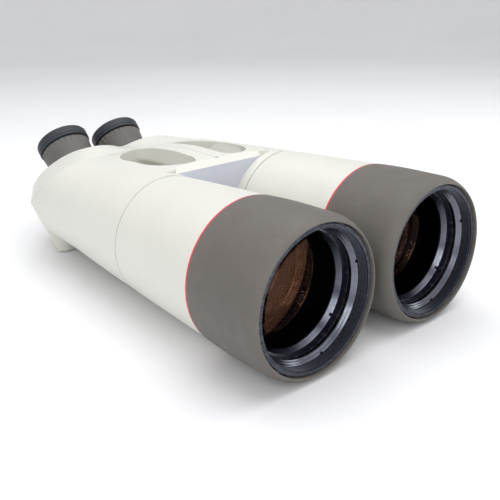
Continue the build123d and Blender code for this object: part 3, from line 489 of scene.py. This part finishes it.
def make_objective(side):
    """Front element with its polished curve and a ground edge."""
    low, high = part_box(f"{side}_front_lens")
    front = (low.y - FRONT_CENTRE[side].y) * 1000.0
    rear = (high.y - FRONT_CENTRE[side].y) * 1000.0
    edge_r = (high.x - low.x) * 500.0 - 0.05
    rim = front + RIM_DROP
    outline = [(0.0, front), *arc((0.01, front), (edge_r / 2, front + 0.9), (edge_r, rim), 24)[1:]]
    outline += arc((edge_r, rim + RIM_WIDTH), (edge_r / 2, rear - 1.12), (0.01, rear), 24)[:-1]
    outline.append((0.0, rear))
    lens = turn(f"{side}_objective", outline, FRONT_CENTRE[side], BARREL, 192, soft=0.0, angle=40.0)
    return fit(lens, "housing", "objective_glass", side, f"{side}_front_lens")


def make_eyecup(side):
    """Rubber cup: thick rolled rim, a groove under it and a straight skirt."""
    outline = [(CUP_INNER_R, 27.4), (23.5, 27.4), (23.5, 37.6), (26.2, 37.6), (CUP_R, 38.2)]
    outline += [(CUP_R, 39.6), (26.3, 40.0), (26.3, 40.6), (CUP_R, 41.0)]
    outline += arc((CUP_R, 45.0), (25.6, 48.3), (22.8, CUP_TOP), 10)
    outline += arc((21.0, CUP_TOP), (18.4, 48.4), (16.8, 45.6), 8)
    outline += [(16.6, 43.8), (CUP_INNER_R, 43.8)]
    cup = turn(f"{side}_rubber_cup", outline, EYE_PLACE[side], SLOPE, 160, soft=0.15, angle=35.0)
    return fit(cup, f"{side}_eyecup_body", "eyecup_rubber", side, f"{side}_eyecup")


dress_cad()
for barrel_side in SIDES:
    make_hood(barrel_side)
    make_trim(barrel_side)
    make_tube(barrel_side)
    make_threaded_ring(barrel_side)
    make_objective(barrel_side)
    make_eyecup(barrel_side)


# ------------------------------------------------------------------ camera, light, floor
CAMERA_PLACE = (-0.35930, -0.50084, 0.24953)
CAMERA_TARGET = (-0.1076, -0.215, 0.1204)
CAMERA_ROLL = -0.015
CAMERA_LENS = 50.97
CAMERA_SHIFT = (-0.0276, -0.0545)
LIT_SPOT = (0, -0.05, 0.05)
SKY_STRENGTH = 0.62
FLOOR_R = 2.0  # flat part of the floor
CURVE_R = 1.0  # curve between the floor and the backdrop
BACKDROP_TOP = 1.9


def aim(obj, target, roll=0.0):
    """Turn a camera or light to look at a point, rolled about its line of sight."""
    back = (obj.location - Vector(target)).normalized()
    right = Vector((0, 0, 1)).cross(back).normalized()
    up = back.cross(right)
    tilted_right = math.cos(roll) * right + math.sin(roll) * up
    tilted_up = -math.sin(roll) * right + math.cos(roll) * up
    turn_matrix = Matrix((tilted_right, tilted_up, back)).transposed()
    obj.rotation_euler = turn_matrix.to_euler()


def make_camera():
    """Three-quarter view from in front of the observer's right barrel and above it."""
    data = bpy.data.cameras.new("camera")
    camera = bpy.data.objects.new("camera", data)
    bpy.context.scene.collection.objects.link(camera)
    camera.location = CAMERA_PLACE
    aim(camera, CAMERA_TARGET, CAMERA_ROLL)
    data.sensor_width = 36.0
    data.lens = CAMERA_LENS
    data.shift_x, data.shift_y = CAMERA_SHIFT
    data.clip_start = 0.01
    bpy.context.scene.camera = camera


def make_light(name, place, size, power):
    """Softbox that faces the middle of the instrument."""
    data = bpy.data.lights.new(name, "AREA")
    data.shape = "RECTANGLE"
    data.size = size[0]
    data.size_y = size[1]
    data.energy = power
    light = bpy.data.objects.new(name, data)
    bpy.context.scene.collection.objects.link(light)
    light.location = place
    aim(light, LIT_SPOT)


def set_tones():
    """Plain display tones, so that the pale floor and the ivory paint reach white."""
    bpy.context.scene.view_settings.view_transform = "Standard"


def make_lights():
    """Three softboxes and an even pale sky."""
    make_light("top softbox", (0.15, 0.0, 1.3), (1.8, 1.4), 15.0)
    make_light("front softbox", (-1.0, -0.9, 0.8), (0.9, 0.9), 7.0)
    make_light("side fill", (1.3, -0.6, 0.5), (0.8, 0.6), 3.0)
    world = bpy.data.worlds.new("studio")
    world.use_nodes = True
    sky = world.node_tree.nodes["Background"]
    sky.inputs["Color"].default_value = (0.96, 0.97, 1.0, 1.0)
    sky.inputs["Strength"].default_value = SKY_STRENGTH
    bpy.context.scene.world = world


def make_floor():
    """Pale round studio floor that curves up into a low backdrop all the way round."""
    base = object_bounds()[0][2] - 0.0001
    profile = [(radius, 0.0) for radius in (0.0, 0.6, 1.2, FLOOR_R)]
    for a in (0.3, 0.6, 0.9, 1.2, math.pi / 2):
        profile.append((FLOOR_R + CURVE_R * math.sin(a), CURVE_R - CURVE_R * math.cos(a)))
    profile.append((FLOOR_R + CURVE_R, BACKDROP_TOP))
    build = bmesh.new()
    steps = 96
    rings = []
    for radius, height in profile:
        ring = []
        for i in range(steps):
            a = 2 * math.pi * i / steps
            ring.append(build.verts.new((radius * math.cos(a), radius * math.sin(a), base + height)))
        rings.append(ring)
    for inner, outer in zip(rings, rings[1:]):
        for i in range(steps):
            j = (i + 1) % steps
            build.faces.new((inner[i], outer[i], outer[j], inner[j]))
    bmesh.ops.remove_doubles(build, verts=build.verts, dist=0.00001)
    mesh = bpy.data.meshes.new("floor")
    build.to_mesh(mesh)
    build.free()
    mesh.shade_smooth()
    floor = bpy.data.objects.new("floor", mesh)
    bpy.context.scene.collection.objects.link(floor)
    n = Nodes("floor paper")
    drift = n.ramp(n.noise(3.0, 3.0), 0.3, 0.7, 0.0, 1.0)
    base_colour = n.mix(drift, (0.90, 0.90, 0.90), (0.87, 0.87, 0.88))
    floor.data.materials.append(n.finish(base_colour, n.ramp(n.noise(30.0), 0.3, 0.7, 0.55, 0.7), None))


make_camera()
set_tones()
make_lights()
make_floor()
